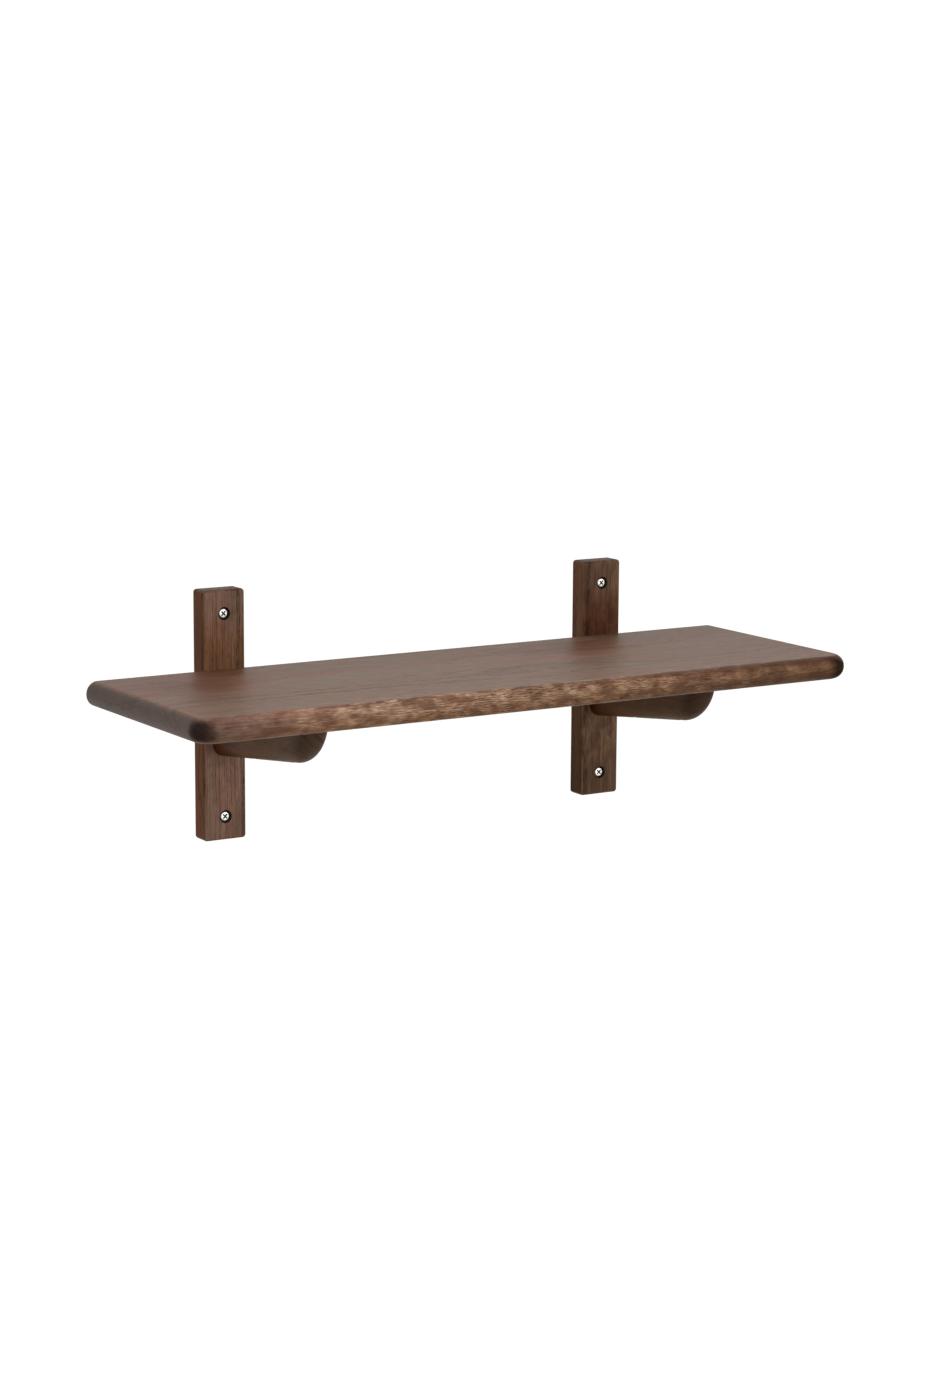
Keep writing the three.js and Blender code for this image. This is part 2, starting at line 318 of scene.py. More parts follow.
def cutStaves(node, piece, seed, wood):
    # each stave comes from its own log, and a piece without glue joints is one wide stave
    grain, width, depth = wood["axes"]
    stave = node("ShaderNodeMath", {0: width, 1: piece["staveWidth"]}, operation="DIVIDE")
    stave = node("ShaderNodeMath", {0: stave, 1: seed}, operation="ADD")
    stave = node("ShaderNodeMath", {0: stave}, operation="FLOOR")
    luck = node("ShaderNodeTexWhiteNoise", {"W": stave}, noise_dimensions="1D")
    luckParts = node("ShaderNodeSeparateXYZ", {0: luck.outputs["Color"]})
    along = node("ShaderNodeMath", {0: luckParts.outputs["Z"], 1: oak["logLength"], 2: grain},
                 operation="MULTIPLY_ADD")
    log = node("ShaderNodeCombineXYZ", {0: along, 1: width, 2: depth})
    noise = {}
    for name, pattern in oakPatterns.items():
        perSize = [1 / size for size in pattern["size"]]
        start = [pattern["seed"] + oak["pieceStep"] * seed] * 3
        at = node("ShaderNodeVectorMath", {0: log, 1: perSize}, operation="MULTIPLY")
        at = node("ShaderNodeVectorMath", {0: at, 1: start}, operation="ADD")
        noise[name] = node("ShaderNodeTexNoise", {"Vector": at, "Scale": 1, "Detail": pattern["detail"]})
    wood.update(noise=noise, luck=luck.outputs["Color"], staveLuck=luckParts.outputs["X"])


growth = {
    "waver": 2.2,                # mm
    "crowdOften": 0.35,          # per ring, how often narrow rings give way to wide ones
    "crowdRings": 4.5,           # and how many rings that brings together
    "earlyFades": (0.42, 0.06),  # shares of a ring
    "earlyStarts": (1, 0.93),
    "yearDarkness": (0.25, 1.4),     # of a pale year's earlywood and a dark one's
    "poreEdge": (0.54, 0.66),    # the noise's values from solid wood to a pore
    "latePores": 0.25,           # pores in the latewood, as a share of those in the earlywood
}


def growRings(node, piece, wood):
    # annual rings round the pith, which wander along the log
    width, depth = wood["axes"][1:]
    spread = node("ShaderNodeVectorMath", {0: wood["luck"], 1: (0.5, 0.5, 0.5)}, operation="SUBTRACT")
    bends = [node("ShaderNodeVectorMath", {0: spread, 1: (*piece["pithSpread"], 0)}, operation="MULTIPLY")]
    for name, reach in (("wander", piece["wander"]), ("waver", growth["waver"])):
        drift = wood["noise"][name].outputs["Color"]
        bends.append(node("ShaderNodeVectorMath", {0: drift, "Scale": reach}, operation="SCALE"))
    middle = (piece["wander"] + growth["waver"]) / 2     # the mean of both bends, taken away again
    pith = [value + middle for value in piece["pith"]]
    fromPith = node("ShaderNodeCombineXYZ", {0: width, 1: depth})
    fromPith = node("ShaderNodeVectorMath", {0: fromPith, 1: (*pith, 0)}, operation="SUBTRACT")
    for bend in bends:
        fromPith = node("ShaderNodeVectorMath", {0: fromPith, 1: bend}, operation="ADD")
    fromPith = node("ShaderNodeVectorMath", {0: fromPith, 1: (1, 1, 0)}, operation="MULTIPLY")
    radius = node("ShaderNodeVectorMath", {0: fromPith}, operation="LENGTH")
    rings = node("ShaderNodeMath", {0: radius, 1: piece["ring"]}, operation="DIVIDE")
    crowding = node("ShaderNodeTexNoise", {"W": rings, "Scale": growth["crowdOften"], "Detail": 1},
                    noise_dimensions="1D")
    rings = node("ShaderNodeMath", {0: crowding, 1: growth["crowdRings"], 2: rings},
                 operation="MULTIPLY_ADD")
    phase = node("ShaderNodeMath", {0: rings}, operation="FRACT")
    fades = node("ShaderNodeMapRange", {"Value": phase, "From": growth["earlyFades"]}, **eased)
    starts = node("ShaderNodeMapRange", {"Value": phase, "From": growth["earlyStarts"]}, **eased)
    early = node("ShaderNodeMath", {0: fades, 1: starts}, operation="MULTIPLY")
    year = node("ShaderNodeMath", {0: rings}, operation="FLOOR")
    year = node("ShaderNodeTexWhiteNoise", {"W": year}, noise_dimensions="1D")
    year = node("ShaderNodeMapRange", {"Value": year, "To": growth["yearDarkness"]})
    early = node("ShaderNodeMath", {0: early, 1: year}, operation="MULTIPLY", use_clamp=True)
    wood.update(fromPith=fromPith, radius=radius, early=early)


def openPores(node, wood):
    # most pores are in the earlywood
    late, noise = growth["latePores"], wood["noise"]
    pores = node("ShaderNodeMapRange", {"Value": noise["pores"], "From": growth["poreEdge"]}, **eased)
    porous = node("ShaderNodeMath", {0: wood["early"], 1: 1 - late, 2: late}, operation="MULTIPLY_ADD")
    wood["pores"] = node("ShaderNodeMath", {0: pores, 1: porous}, operation="MULTIPLY")


# Ray flecks are pale eyes where rays reach the surface, and darker wavy fibres pass round them.
# A range is of a noise's values, and the share beside it is what they turn into.
rays = {
    "eye": (0.38, 0.67), "eyeShare": (0.08, 1),
    "grainy": (0.6, 0.4), "grainyShare": (0.45, 1),
    "fibreGap": 1.7,         # mm between the dark fibres
    "bendAtEyes": 3.4, "bendAtSquiggles": 0.8,    # in gaps
    "fibreEdge": (-0.1, 1),  # of the wave across the fibres
    "thick": (0.38, 0.62), "thickShare": (0.4, 0.95),
    "broken": (0.4, 0.56), "brokenShare": (0.12, 1),
    "lying": (0.52, 0.8),    # how nearly the surface lies along the rays
    "crossing": 0.12,        # what shows of them where it doesn't
    "strip": (0.2, 0.6),     # how far the front strip faces front
    # where along the grain they crowd, in half lengths from the middle
    "left": (-0.88, -0.44), "leftShare": (0.3, 1.15),
    "right": (0.1, 1), "rightShare": (1.15, 0.5),
}


def showRays(node, part, piece, wood):
    noise, half = wood["noise"], wood["halfGrain"]
    grain, _, depth = wood["axes"]
    flecks = node("ShaderNodeMapRange", {"Value": noise["eyes"], "From": rays["eye"],
                                         "To": rays["eyeShare"]})
    grainy = node("ShaderNodeMapRange", {"Value": noise["squiggle"], "From": rays["grainy"],
                                         "To": rays["grainyShare"]})
    flecks = node("ShaderNodeMath", {0: flecks, 1: grainy}, operation="MULTIPLY")
    fibres = node("ShaderNodeMath", {0: depth, 1: rays["fibreGap"]}, operation="DIVIDE")
    for name, bend in (("eyes", rays["bendAtEyes"]), ("squiggle", rays["bendAtSquiggles"])):
        fibres = node("ShaderNodeMath", {0: noise[name], 1: bend, 2: fibres}, operation="MULTIPLY_ADD")
    fibres = node("ShaderNodeMath", {0: fibres, 1: 2 * math.pi}, operation="MULTIPLY")
    fibres = node("ShaderNodeMath", {0: fibres}, operation="SINE")
    fibres = node("ShaderNodeMapRange", {"Value": fibres, "From": rays["fibreEdge"]}, **eased)

    # they show broad only where the surface lies along them
    across = [wood["turned"].outputs[axis] for axis in piece["axes"][1:]]
    lying = node("ShaderNodeCombineXYZ", {0: across[0], 1: across[1]})
    lying = node("ShaderNodeVectorMath", {0: lying, 1: wood["fromPith"]}, operation="CROSS_PRODUCT")
    lying = node("ShaderNodeSeparateXYZ", {0: lying})
    lying = node("ShaderNodeMath", {0: lying.outputs["Z"], 1: wood["radius"]}, operation="DIVIDE")
    lying = node("ShaderNodeMath", {0: lying}, operation="ABSOLUTE")
    shown = piece["fleck"]
    broad = node("ShaderNodeMapRange", {"Value": lying, "From": rays["lying"],
                                        "To": (shown * rays["crossing"], shown)}, **eased)
    if part == "shelf_board":
        # the front strip is cut so that its rays show all round the bullnose
        strip = node("ShaderNodeMapRange", {"Value": wood["facing"][1], "From": rays["strip"],
                                            "To": (0, shown)}, **eased)
        broad = node("ShaderNodeMath", {0: broad, 1: strip}, operation="MAXIMUM")
    left = node("ShaderNodeMapRange", {"Value": grain, "From": [half * share for share in rays["left"]],
                                       "To": rays["leftShare"]}, **eased)
    right = node("ShaderNodeMapRange", {"Value": grain, "From": [half * share for share in rays["right"]],
                                        "To": rays["rightShare"]})
    crowd = node("ShaderNodeMath", {0: left, 1: right}, operation="MINIMUM")
    flecks = node("ShaderNodeMath", {0: flecks, 1: broad}, operation="MULTIPLY")
    flecks = node("ShaderNodeMath", {0: flecks, 1: crowd}, operation="MULTIPLY", use_clamp=True)
    thick = node("ShaderNodeMapRange", {"Value": noise["patch"], "From": rays["thick"],
                                        "To": rays["thickShare"]})
    broken = node("ShaderNodeMapRange", {"Value": noise["break"], "From": rays["broken"],
                                         "To": rays["brokenShare"]}, **eased)
    for share in (broad, thick, broken, crowd):
        fibres = node("ShaderNodeMath", {0: fibres, 1: share}, operation="MULTIPLY", use_clamp=True)
    wood.update(flecks=flecks, fibres=fibres)


# the tint noise's values from brown wood to reddish, and the light in patches and from stave to stave
woodTones = {"tint": (0.38, 0.62), "patchLight": (0.86, 1.16), "staveLight": (0.92, 1.08)}


def colourWood(node, piece, wood):
    noise = wood["noise"]
    patch = node("ShaderNodeMapRange", {"Value": noise["tint"], "From": woodTones["tint"]})
    brown, reddish = (linear(shade) for shade in piece["wood"])
    colour = node("ShaderNodeMix", {"Factor": patch, "A": brown, "B": reddish}, **inColour)
    light = node("ShaderNodeMapRange", {"Value": noise["patch"], "From": noiseRange,
                                        "To": woodTones["patchLight"]})
    streak = node("ShaderNodeMapRange", {"Value": noise["fibre"], "From": noiseRange,
                                         "To": (1 - piece["streak"], 1 + piece["streak"])})
    staveLight = node("ShaderNodeMapRange", {"Value": wood["staveLuck"], "To": woodTones["staveLight"]})
    for share in (streak, staveLight):
        light = node("ShaderNodeMath", {0: light, 1: share}, operation="MULTIPLY")
    colour = node("ShaderNodeVectorMath", {0: colour, "Scale": light}, operation="SCALE")
    rings = node("ShaderNodeMath", {0: wood["early"], 1: piece["earlywood"]}, operation="MULTIPLY")
    pores = node("ShaderNodeMath", {0: wood["pores"], 1: piece["pores"]}, operation="MULTIPLY")
    marks = {"earlywood": rings, "fleck": wood["flecks"], "darkFibre": wood["fibres"], "pore": pores}
    for name, amount in marks.items():
        colour = node("ShaderNodeMix", {"Factor": amount, "A": colour, "B": linear(oak[name])}, **inColour)
    face, side = (node("ShaderNodeMix", {"Factor": wood["upGrain"], "A": (*low, 1), "B": (*high, 1)},
                       **inColour) for low, high in (piece["faceTones"], piece["sideTones"]))
    stain = node("ShaderNodeMix", {"Factor": wood["side"], "A": face, "B": side}, **inColour)
    wood["light"] = light
    return node("ShaderNodeVectorMath", {0: colour, 1: stain}, operation="MULTIPLY")


# how far the surface faces along the grain where it turns to end grain, and the light in its latewood
# and in its earlywood
endWood = {"facing": (0.3, 0.7), "ringLight": (1.15, 0.8)}


def addEndGrain(node, piece, wood, colour):
    # the board's ends are found by the way they face, the other pieces' by their place
    grain = wood["axes"][0]
    if "ends" not in piece:
        turning, ends = wood["facing"][0], endWood["facing"]
    elif piece["bothEnds"]:
        turning, ends = node("ShaderNodeMath", {0: grain}, operation="ABSOLUTE"), piece["ends"]
    else:
        turning, ends = node("ShaderNodeMath", {0: grain, 1: -1}, operation="MULTIPLY"), piece["ends"]
    share = node("ShaderNodeMapRange", {"Value": turning, "From": ends}, **eased)
    rings = node("ShaderNodeMapRange", {"Value": wood["early"], "To": endWood["ringLight"]})
    endColour = [shade * tone for shade, tone in zip(linear(oak["endGrain"]), piece["endTone"])]
    for light in (rings, wood["light"]):
        endColour = node("ShaderNodeVectorMath", {0: endColour, "Scale": light}, operation="SCALE")
    return node("ShaderNodeMix", {"Factor": share, "A": colour, "B": endColour}, **inColour)


# Heights are mm above the upright's middle. The board's underside is at 17.5 mm.
upright = {
    # painted shade above the board, fading in from 16 to 20 mm and out from 52 to 92 mm
    "shadeAbove": (92, 52), "shadeAboveStarts": (16, 20),
    # the pale colour of the eased edges is wear and a painted highlight
    "paleEdge": "#94765e", "edgeFacing": (0.97, 0.8), "patchy": (0.4, 0.65), "paleEdgeShare": 0.55,
    # the counterbores' colour is painted shade
    "bore": "#48372d",
    "boreHeight": 82,        # above and below the middle
    "boreRadius": 5.4,       # mm, a little more than the counterbore's
}


def shadeUprightAboveBoard(node, piece, wood, colour):
    # painted shade: the wood above the board is darker and redder, fading out towards the top
    grain = wood["axes"][0]
    there = node("ShaderNodeMapRange", {"Value": grain, "From": upright["shadeAbove"]}, **eased)
    above = node("ShaderNodeMapRange", {"Value": grain, "From": upright["shadeAboveStarts"]})
    there = node("ShaderNodeMath", {0: there, 1: above}, operation="MULTIPLY")
    shadeAbove = node("ShaderNodeMix", {"Factor": wood["side"], "A": (*piece["shadeAbove"], 1),
                                  "B": (*piece["sideShadeAbove"], 1)}, **inColour)
    shadeAbove = node("ShaderNodeMix", {"Factor": there, "A": white, "B": shadeAbove}, **inColour)
    return node("ShaderNodeVectorMath", {0: colour, 1: shadeAbove}, operation="MULTIPLY")


def paleEdgesAndBoreShade(node, wood, colour):
    # the eased edges are paler in patches, from wear by handling and a painted highlight
    parts, facing = wood["parts"], wood["facing"]
    squarest = node("ShaderNodeMath", {0: facing[0], 1: facing[1]}, operation="MAXIMUM")
    squarest = node("ShaderNodeMath", {0: squarest, 1: facing[2]}, operation="MAXIMUM")
    paleEdge = node("ShaderNodeMapRange", {"Value": squarest, "From": upright["edgeFacing"]}, **eased)
    patchy = node("ShaderNodeMapRange", {"Value": wood["noise"]["waver"], "From": upright["patchy"],
                                         "To": (0, upright["paleEdgeShare"])})
    paleEdge = node("ShaderNodeMath", {0: paleEdge, 1: patchy}, operation="MULTIPLY")
    colour = node("ShaderNodeMix", {"Factor": paleEdge, "A": colour, "B": linear(upright["paleEdge"])},
                  **inColour)
    # and painted shade in the counterbores, which lie in the front half of the upright's depth
    height = node("ShaderNodeMath", {0: parts.outputs["Z"]}, operation="ABSOLUTE")
    height = node("ShaderNodeMath", {0: height, 1: upright["boreHeight"]}, operation="SUBTRACT")
    fromAxis = node("ShaderNodeCombineXYZ", {0: parts.outputs["X"], 1: height})
    fromAxis = node("ShaderNodeVectorMath", {0: fromAxis}, operation="LENGTH")
    inside = node("ShaderNodeMath", {0: fromAxis, 1: upright["boreRadius"]}, operation="LESS_THAN")
    inFront = node("ShaderNodeMath", {0: parts.outputs["Y"], 1: 0}, operation="LESS_THAN")
    paintedShade = node("ShaderNodeMath", {0: inside, 1: inFront}, operation="MULTIPLY")
    return node("ShaderNodeMix", {"Factor": paintedShade, "A": colour, "B": linear(upright["bore"])}, **inColour)


arm = {"jointShade": (56, 6), "paintedShade": (0.54, 0.37, 0.2, 1)}   # the painted shade's ends are in mm from the upright


def shadeArmByUpright(node, wood, colour):
    # painted shade where the arm meets the upright
    jointShade = [wood["halfGrain"] - distance for distance in arm["jointShade"]]
    there = node("ShaderNodeMapRange", {"Value": wood["axes"][0], "From": jointShade}, **eased)
    tone = node("ShaderNodeMix", {"Factor": there, "A": white, "B": arm["paintedShade"]}, **inColour)
    return node("ShaderNodeVectorMath", {0: colour, 1: tone}, operation="MULTIPLY")


# Painted shade beside the uprights: the board is darker, redder and less glossy there.
wept = {
    "marks": ((-243, 34, 10), (112, 44, 10)),     # mm from the board's middle
    "reach": (0.7, 1, 1),    # the mark reaches further along the grain than across it
    "ragged": 90,            # mm that the waver noise moves its edge by
    "edge": (96, 48),        # mm
    "tone": (0.8, 0.66, 0.58, 1),
    "sheen": 0.7,
}

# The board's edges. The crease colour is a painted highlight and the band a redder stain, depthLight is
# painted shade towards the back, lowTones and highTones are painted light and shade on the front, and
# leftTone darkens the front's left end. Rise and fall, low and high are how far the surface faces up, and
# front is how far it faces front. Depth and height are mm from the board's middle.
edgeStainAndLight = {
    # the crease colour is a painted highlight
    "crease": "#977260", "creaseRise": (0.95, 0.985), "creaseFall": (0.9999, 0.996), "creaseShare": 0.45,
    "band": "#4d2c20", "bandLow": (0.5, 0.75), "bandHigh": (0.995, 0.95),
    "bandEnds": (0.4, 1), "bandShare": 0.85,          # from 0 at the left end to 1 at the right
    # painted shade: the board is darker and less glossy towards the back
    "depth": (-82, 66), "depthLight": (1.05, 0.84),   # front to back
    "front": (0.1, 0.5),
    # painted light and shade on the front
    "lowTones": ((0.8, 0.7, 0.57, 1), (0.2, 0.13, 0.05, 1)),      # at the left and at the right end
    "highTones": ((1.42, 1.5, 1.82, 1), (0.8, 0.7, 0.54, 1)),
    "height": (-9, 8),
    "leftEnd": (-0.97, -0.7), "leftTone": (0.7, 0.79, 0.98, 1),   # in half lengths
}

cornerStain = {
    "colour": "#190f09",
    "endGrain": -0.01,       # moves the stain from the end towards the front
    "ragged": 0.35,
    "starts": (0.02, 0.03),  # the slant from which it shows, at the left and at the right end
    "full": 0.34, "share": 0.63,
    "right": (-10, 5),       # mm from where the right corner's rounding starts
    "rightFacing": (0.3, 0.8), "rightShare": 0.86,
}


def shadeByUprightsOnBoard(node, wood):
    marks = []
    for joint in wept["marks"]:
        away = node("ShaderNodeVectorMath", {0: wood["place"], 1: joint}, operation="SUBTRACT")
        away = node("ShaderNodeVectorMath", {0: away, 1: wept["reach"]}, operation="MULTIPLY")
        away = node("ShaderNodeVectorMath", {0: away}, operation="LENGTH")
        away = node("ShaderNodeMath", {0: wood["noise"]["waver"], 1: wept["ragged"], 2: away},
                    operation="MULTIPLY_ADD")
        marks.append(node("ShaderNodeMapRange", {"Value": away, "From": wept["edge"]}, **eased))
    return node("ShaderNodeMath", {0: marks[0], 1: marks[1]}, operation="MAXIMUM")


def highlightCreaseAndBand(node, wood, colour):
    # a painted highlight lightens the crease between top and bullnose, and below it the band is redder
    up = wood["facing"][2]
    rise = node("ShaderNodeMapRange", {"Value": up, "From": edgeStainAndLight["creaseRise"]}, **eased)
    fall = node("ShaderNodeMapRange", {"Value": up, "From": edgeStainAndLight["creaseFall"]}, **eased)
    crease = node("ShaderNodeMath", {0: rise, 1: fall}, operation="MULTIPLY")
    crease = node("ShaderNodeMath", {0: crease, 1: edgeStainAndLight["creaseShare"]}, operation="MULTIPLY")
    colour = node("ShaderNodeMix", {"Factor": crease, "A": colour, "B": linear(edgeStainAndLight["crease"])},
                  **inColour)
    low = node("ShaderNodeMapRange", {"Value": up, "From": edgeStainAndLight["bandLow"]}, **eased)
    high = node("ShaderNodeMapRange", {"Value": up, "From": edgeStainAndLight["bandHigh"]}, **eased)
    above = node("ShaderNodeMath", {0: wood["parts"].outputs["Z"], 1: 0}, operation="GREATER_THAN")
    redness = node("ShaderNodeMapRange", {"Value": wood["upGrain"], "From": edgeStainAndLight["bandEnds"],
                                          "To": (0, edgeStainAndLight["bandShare"])})
    band = low
    for share in (high, above, redness):
        band = node("ShaderNodeMath", {0: band, 1: share}, operation="MULTIPLY")
    return node("ShaderNodeMix", {"Factor": band, "A": colour, "B": linear(edgeStainAndLight["band"])}, **inColour)


def lightAndShadeFront(node, wood, onFront, colour):
    # painted light and shade on the front: the lower rounding is darker, most of all on the right, the
    # upper lighter on the left, and the left end darker
    low, high = (node("ShaderNodeMix", {"Factor": wood["upGrain"], "A": left, "B": right}, **inColour)
                 for left, right in (edgeStainAndLight["lowTones"], edgeStainAndLight["highTones"]))
    height = node("ShaderNodeMapRange", {"Value": wood["parts"].outputs["Z"], "From": edgeStainAndLight["height"]})
    frontLightShade = node("ShaderNodeMix", {"Factor": height, "A": low, "B": high}, **inColour)
    leftEnd = [wood["halfGrain"] * share for share in edgeStainAndLight["leftEnd"]]
    left = node("ShaderNodeMapRange", {"Value": wood["axes"][0], "From": leftEnd}, **eased)
    left = node("ShaderNodeMix", {"Factor": left, "A": edgeStainAndLight["leftTone"], "B": white}, **inColour)
    frontLightShade = node("ShaderNodeVectorMath", {0: frontLightShade, 1: left}, operation="MULTIPLY")
    frontLightShade = node("ShaderNodeMix", {"Factor": onFront, "A": white, "B": frontLightShade}, **inColour)
    return node("ShaderNodeVectorMath", {0: colour, 1: frontLightShade}, operation="MULTIPLY")


def soakedCorners(node, wood):
    # stain gathers where the corners cut the grain at a slant, and most of all on the right one
    facing = wood["facing"]
    slant = node("ShaderNodeMath", {0: facing[0], 1: cornerStain["endGrain"], 2: facing[1]},
                 operation="MULTIPLY_ADD")
    slant = node("ShaderNodeMath", {0: slant, 1: facing[0]}, operation="MULTIPLY")
    uneven = node("ShaderNodeMath", {0: wood["noise"]["waver"], 1: 0.5}, operation="SUBTRACT")
    slant = node("ShaderNodeMath", {0: uneven, 1: cornerStain["ragged"], 2: slant},
                 operation="MULTIPLY_ADD")
    start = node("ShaderNodeMapRange", {"Value": wood["upGrain"], "To": cornerStain["starts"]})
    slant = node("ShaderNodeMapRange", {"Value": slant, "From": (start, cornerStain["full"]),
                                        "To": (0, cornerStain["share"])}, **eased)
    rounding = wood["halfGrain"] - boardEdge["corner"]
    rightEnd = [rounding + shift for shift in cornerStain["right"]]
    right = node("ShaderNodeMapRange", {"Value": wood["axes"][0], "From": rightEnd,
                                        "To": (0, cornerStain["rightShare"])}, **eased)
    frontward = node("ShaderNodeMapRange", {"Value": facing[1], "From": cornerStain["rightFacing"]})
    right = node("ShaderNodeMath", {0: right, 1: frontward}, operation="MULTIPLY")
    return node("ShaderNodeMath", {0: slant, 1: right}, operation="MAXIMUM")


def stainAndShadeBoard(node, wood, colour):
    # painted shade beside the uprights
    weptThere = shadeByUprightsOnBoard(node, wood)
    shadeByUprightsTone = node("ShaderNodeMix", {"Factor": weptThere, "A": white, "B": wept["tone"]}, **inColour)
    colour = node("ShaderNodeVectorMath", {0: colour, 1: shadeByUprightsTone}, operation="MULTIPLY")
    colour = highlightCreaseAndBand(node, wood, colour)
    # painted shade towards the back
    backward = node("ShaderNodeMapRange", {"Value": wood["parts"].outputs["Y"], "From": edgeStainAndLight["depth"],
                                           "To": edgeStainAndLight["depthLight"]})
    colour = node("ShaderNodeVectorMath", {0: colour, "Scale": backward}, operation="SCALE")
    onFront = node("ShaderNodeMapRange", {"Value": wood["facing"][1], "From": edgeStainAndLight["front"]}, **eased)
    colour = lightAndShadeFront(node, wood, onFront, colour)
    soaked = soakedCorners(node, wood)
    wood.update(weptThere=weptThere, backward=backward, onFront=onFront, soaked=soaked)
    return node("ShaderNodeMix", {"Factor": soaked, "A": colour, "B": linear(cornerStain["colour"])},
                **inColour)


lacquer = {
    "tint": (1, 0.96, 0.88, 1),   # the stain is mixed into the lacquer, so its sheen is warm
    "uneven": 0.22,          # the share by which the board's is thinner or thicker in places
    "soakedFull": 0.9,       # a corner as soaked as this has none left
    "under": (-8, -3),       # mm, the lower rounding of the board, where it is thin
    "underShare": 0.42,
    "frontShare": 0.5,
    "poreRoughness": 0.2,
    "fibreRelief": 0.35,     # as a share of the pores' depth
    "relief": 0.6,
    "poreDepth": 0.12,       # mm
}


def lacquerBoard(node, wood, sheen):
    # the lacquer is thinner in places, sinks into the soaked corners and ran off the front, and its sheen
    # falls towards the back and beside the uprights as painted shade
    thin, thick = sheen * (1 - lacquer["uneven"]), sheen * (1 + lacquer["uneven"])
    sheen = node("ShaderNodeMapRange", {"Value": wood["noise"]["patch"], "From": noiseRange,
                                        "To": (thin, thick)})
    dry = node("ShaderNodeMapRange", {"Value": wood["soaked"], "From": (0, lacquer["soakedFull"]),
                                      "To": (1, 0)})
    under = node("ShaderNodeMapRange", {"Value": wood["parts"].outputs["Z"], "From": lacquer["under"],
                                        "To": (lacquer["underShare"], 1)})
    dullByUprights = node("ShaderNodeMapRange", {"Value": wood["weptThere"], "To": (1, wept["sheen"])})
    dullFront = node("ShaderNodeMapRange", {"Value": wood["onFront"], "To": (1, lacquer["frontShare"])})
    for share in (dry, wood["backward"], under, dullByUprights, dullFront):
        sheen = node("ShaderNodeMath", {0: sheen, 1: share}, operation="MULTIPLY")
    return sheen


def makeOak(part, piece, seed):
    material, node = startMaterial(piece["name"])
    wood = startWood(node, part, piece)
    cutStaves(node, piece, seed, wood)
    growRings(node, piece, wood)
    openPores(node, wood)
    showRays(node, part, piece, wood)
    colour = colourWood(node, piece, wood)
    if "upright" in part:
        colour = shadeUprightAboveBoard(node, piece, wood, colour)
    elif "arm" in part:
        colour = shadeArmByUpright(node, wood, colour)
    colour = addEndGrain(node, piece, wood, colour)
    sheen = piece["specular"]
    if "upright" in part:
        colour = paleEdgesAndBoreShade(node, wood, colour)
    elif part == "shelf_board":
        colour = stainAndShadeBoard(node, wood, colour)
        sheen = lacquerBoard(node, wood, sheen)

    gloss = node("ShaderNodeMapRange", {"Value": wood["noise"]["patch"], "From": noiseRange,
                                        "To": piece["roughness"]})
    gloss = node("ShaderNodeMath", {0: wood["pores"], 1: lacquer["poreRoughness"], 2: gloss},
                 operation="MULTIPLY_ADD")
    relief = node("ShaderNodeMath", {0: wood["pores"], 1: -1}, operation="MULTIPLY")
    relief = node("ShaderNodeMath", {0: wood["noise"]["fibre"], 1: lacquer["fibreRelief"], 2: relief},
                  operation="MULTIPLY_ADD")
    bump = node("ShaderNodeBump", {"Height": relief, "Strength": lacquer["relief"],
                                   "Distance": lacquer["poreDepth"] * mm})
    shader = node("ShaderNodeBsdfPrincipled", {
        "Base Color": colour, "Roughness": gloss, "IOR": oak["ior"],
        "Specular IOR Level": sheen, "Specular Tint": lacquer["tint"], "Normal": bump,
    })
    node("ShaderNodeOutputMaterial", {"Surface": shader})
    return material


for seed, (part, piece) in enumerate(oakPieces.items()):
    material = makeOak(part, piece, seed)
    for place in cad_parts[part].material_slots:
        place.material = material
print("oak made for", len(oakPieces), "pieces")


# Screws: bright zinc plated steel, cold headed and thread rolled. The plating gives a clear, slightly
# uneven silver, and the punched cross is painted dark as shade.

zinc = {
    "colour": "#f0efec",
    "dull": "#cfcfce",
    # painted shade in the cross recess
    "recess": "#474543",
    "thread": "#b4b5b7",
    "roughness": (0.34, 0.5),
    "mottle": 0.8,           # mm between patches of the plating
    "mottleDetail": 3,
    "relief": 0.3,
    "reliefDepth": 0.02,     # mm
}


def makeZinc(name, bright, dull):
    material, node = startMaterial(name)
    source = node("ShaderNodeTexCoord")
    noise = node("ShaderNodeTexNoise", {"Vector": source.outputs["Object"],
                                        "Scale": 1 / (zinc["mottle"] * mm), "Detail": zinc["mottleDetail"]})
    colour = node("ShaderNodeMix", {"Factor": noise, "A": linear(bright), "B": linear(dull)}, **inColour)
    gloss = node("ShaderNodeMapRange", {"Value": noise, "From": noiseRange, "To": zinc["roughness"]})
    bump = node("ShaderNodeBump", {"Height": noise, "Strength": zinc["relief"],
                                   "Distance": zinc["reliefDepth"] * mm})
    shader = node("ShaderNodeBsdfPrincipled", {"Base Color": colour, "Metallic": 1, "Roughness": gloss,
                                               "Normal": bump})
    node("ShaderNodeOutputMaterial", {"Surface": shader})
    return material


plated = makeZinc("brightZincPlate", zinc["colour"], zinc["dull"])
rolled = makeZinc("rolledZincThread", zinc["thread"], zinc["thread"])
# the recess's dark zinc is painted shade
shadedRecessZinc = makeZinc("recessZincPaintedShade", zinc["recess"], zinc["recess"])

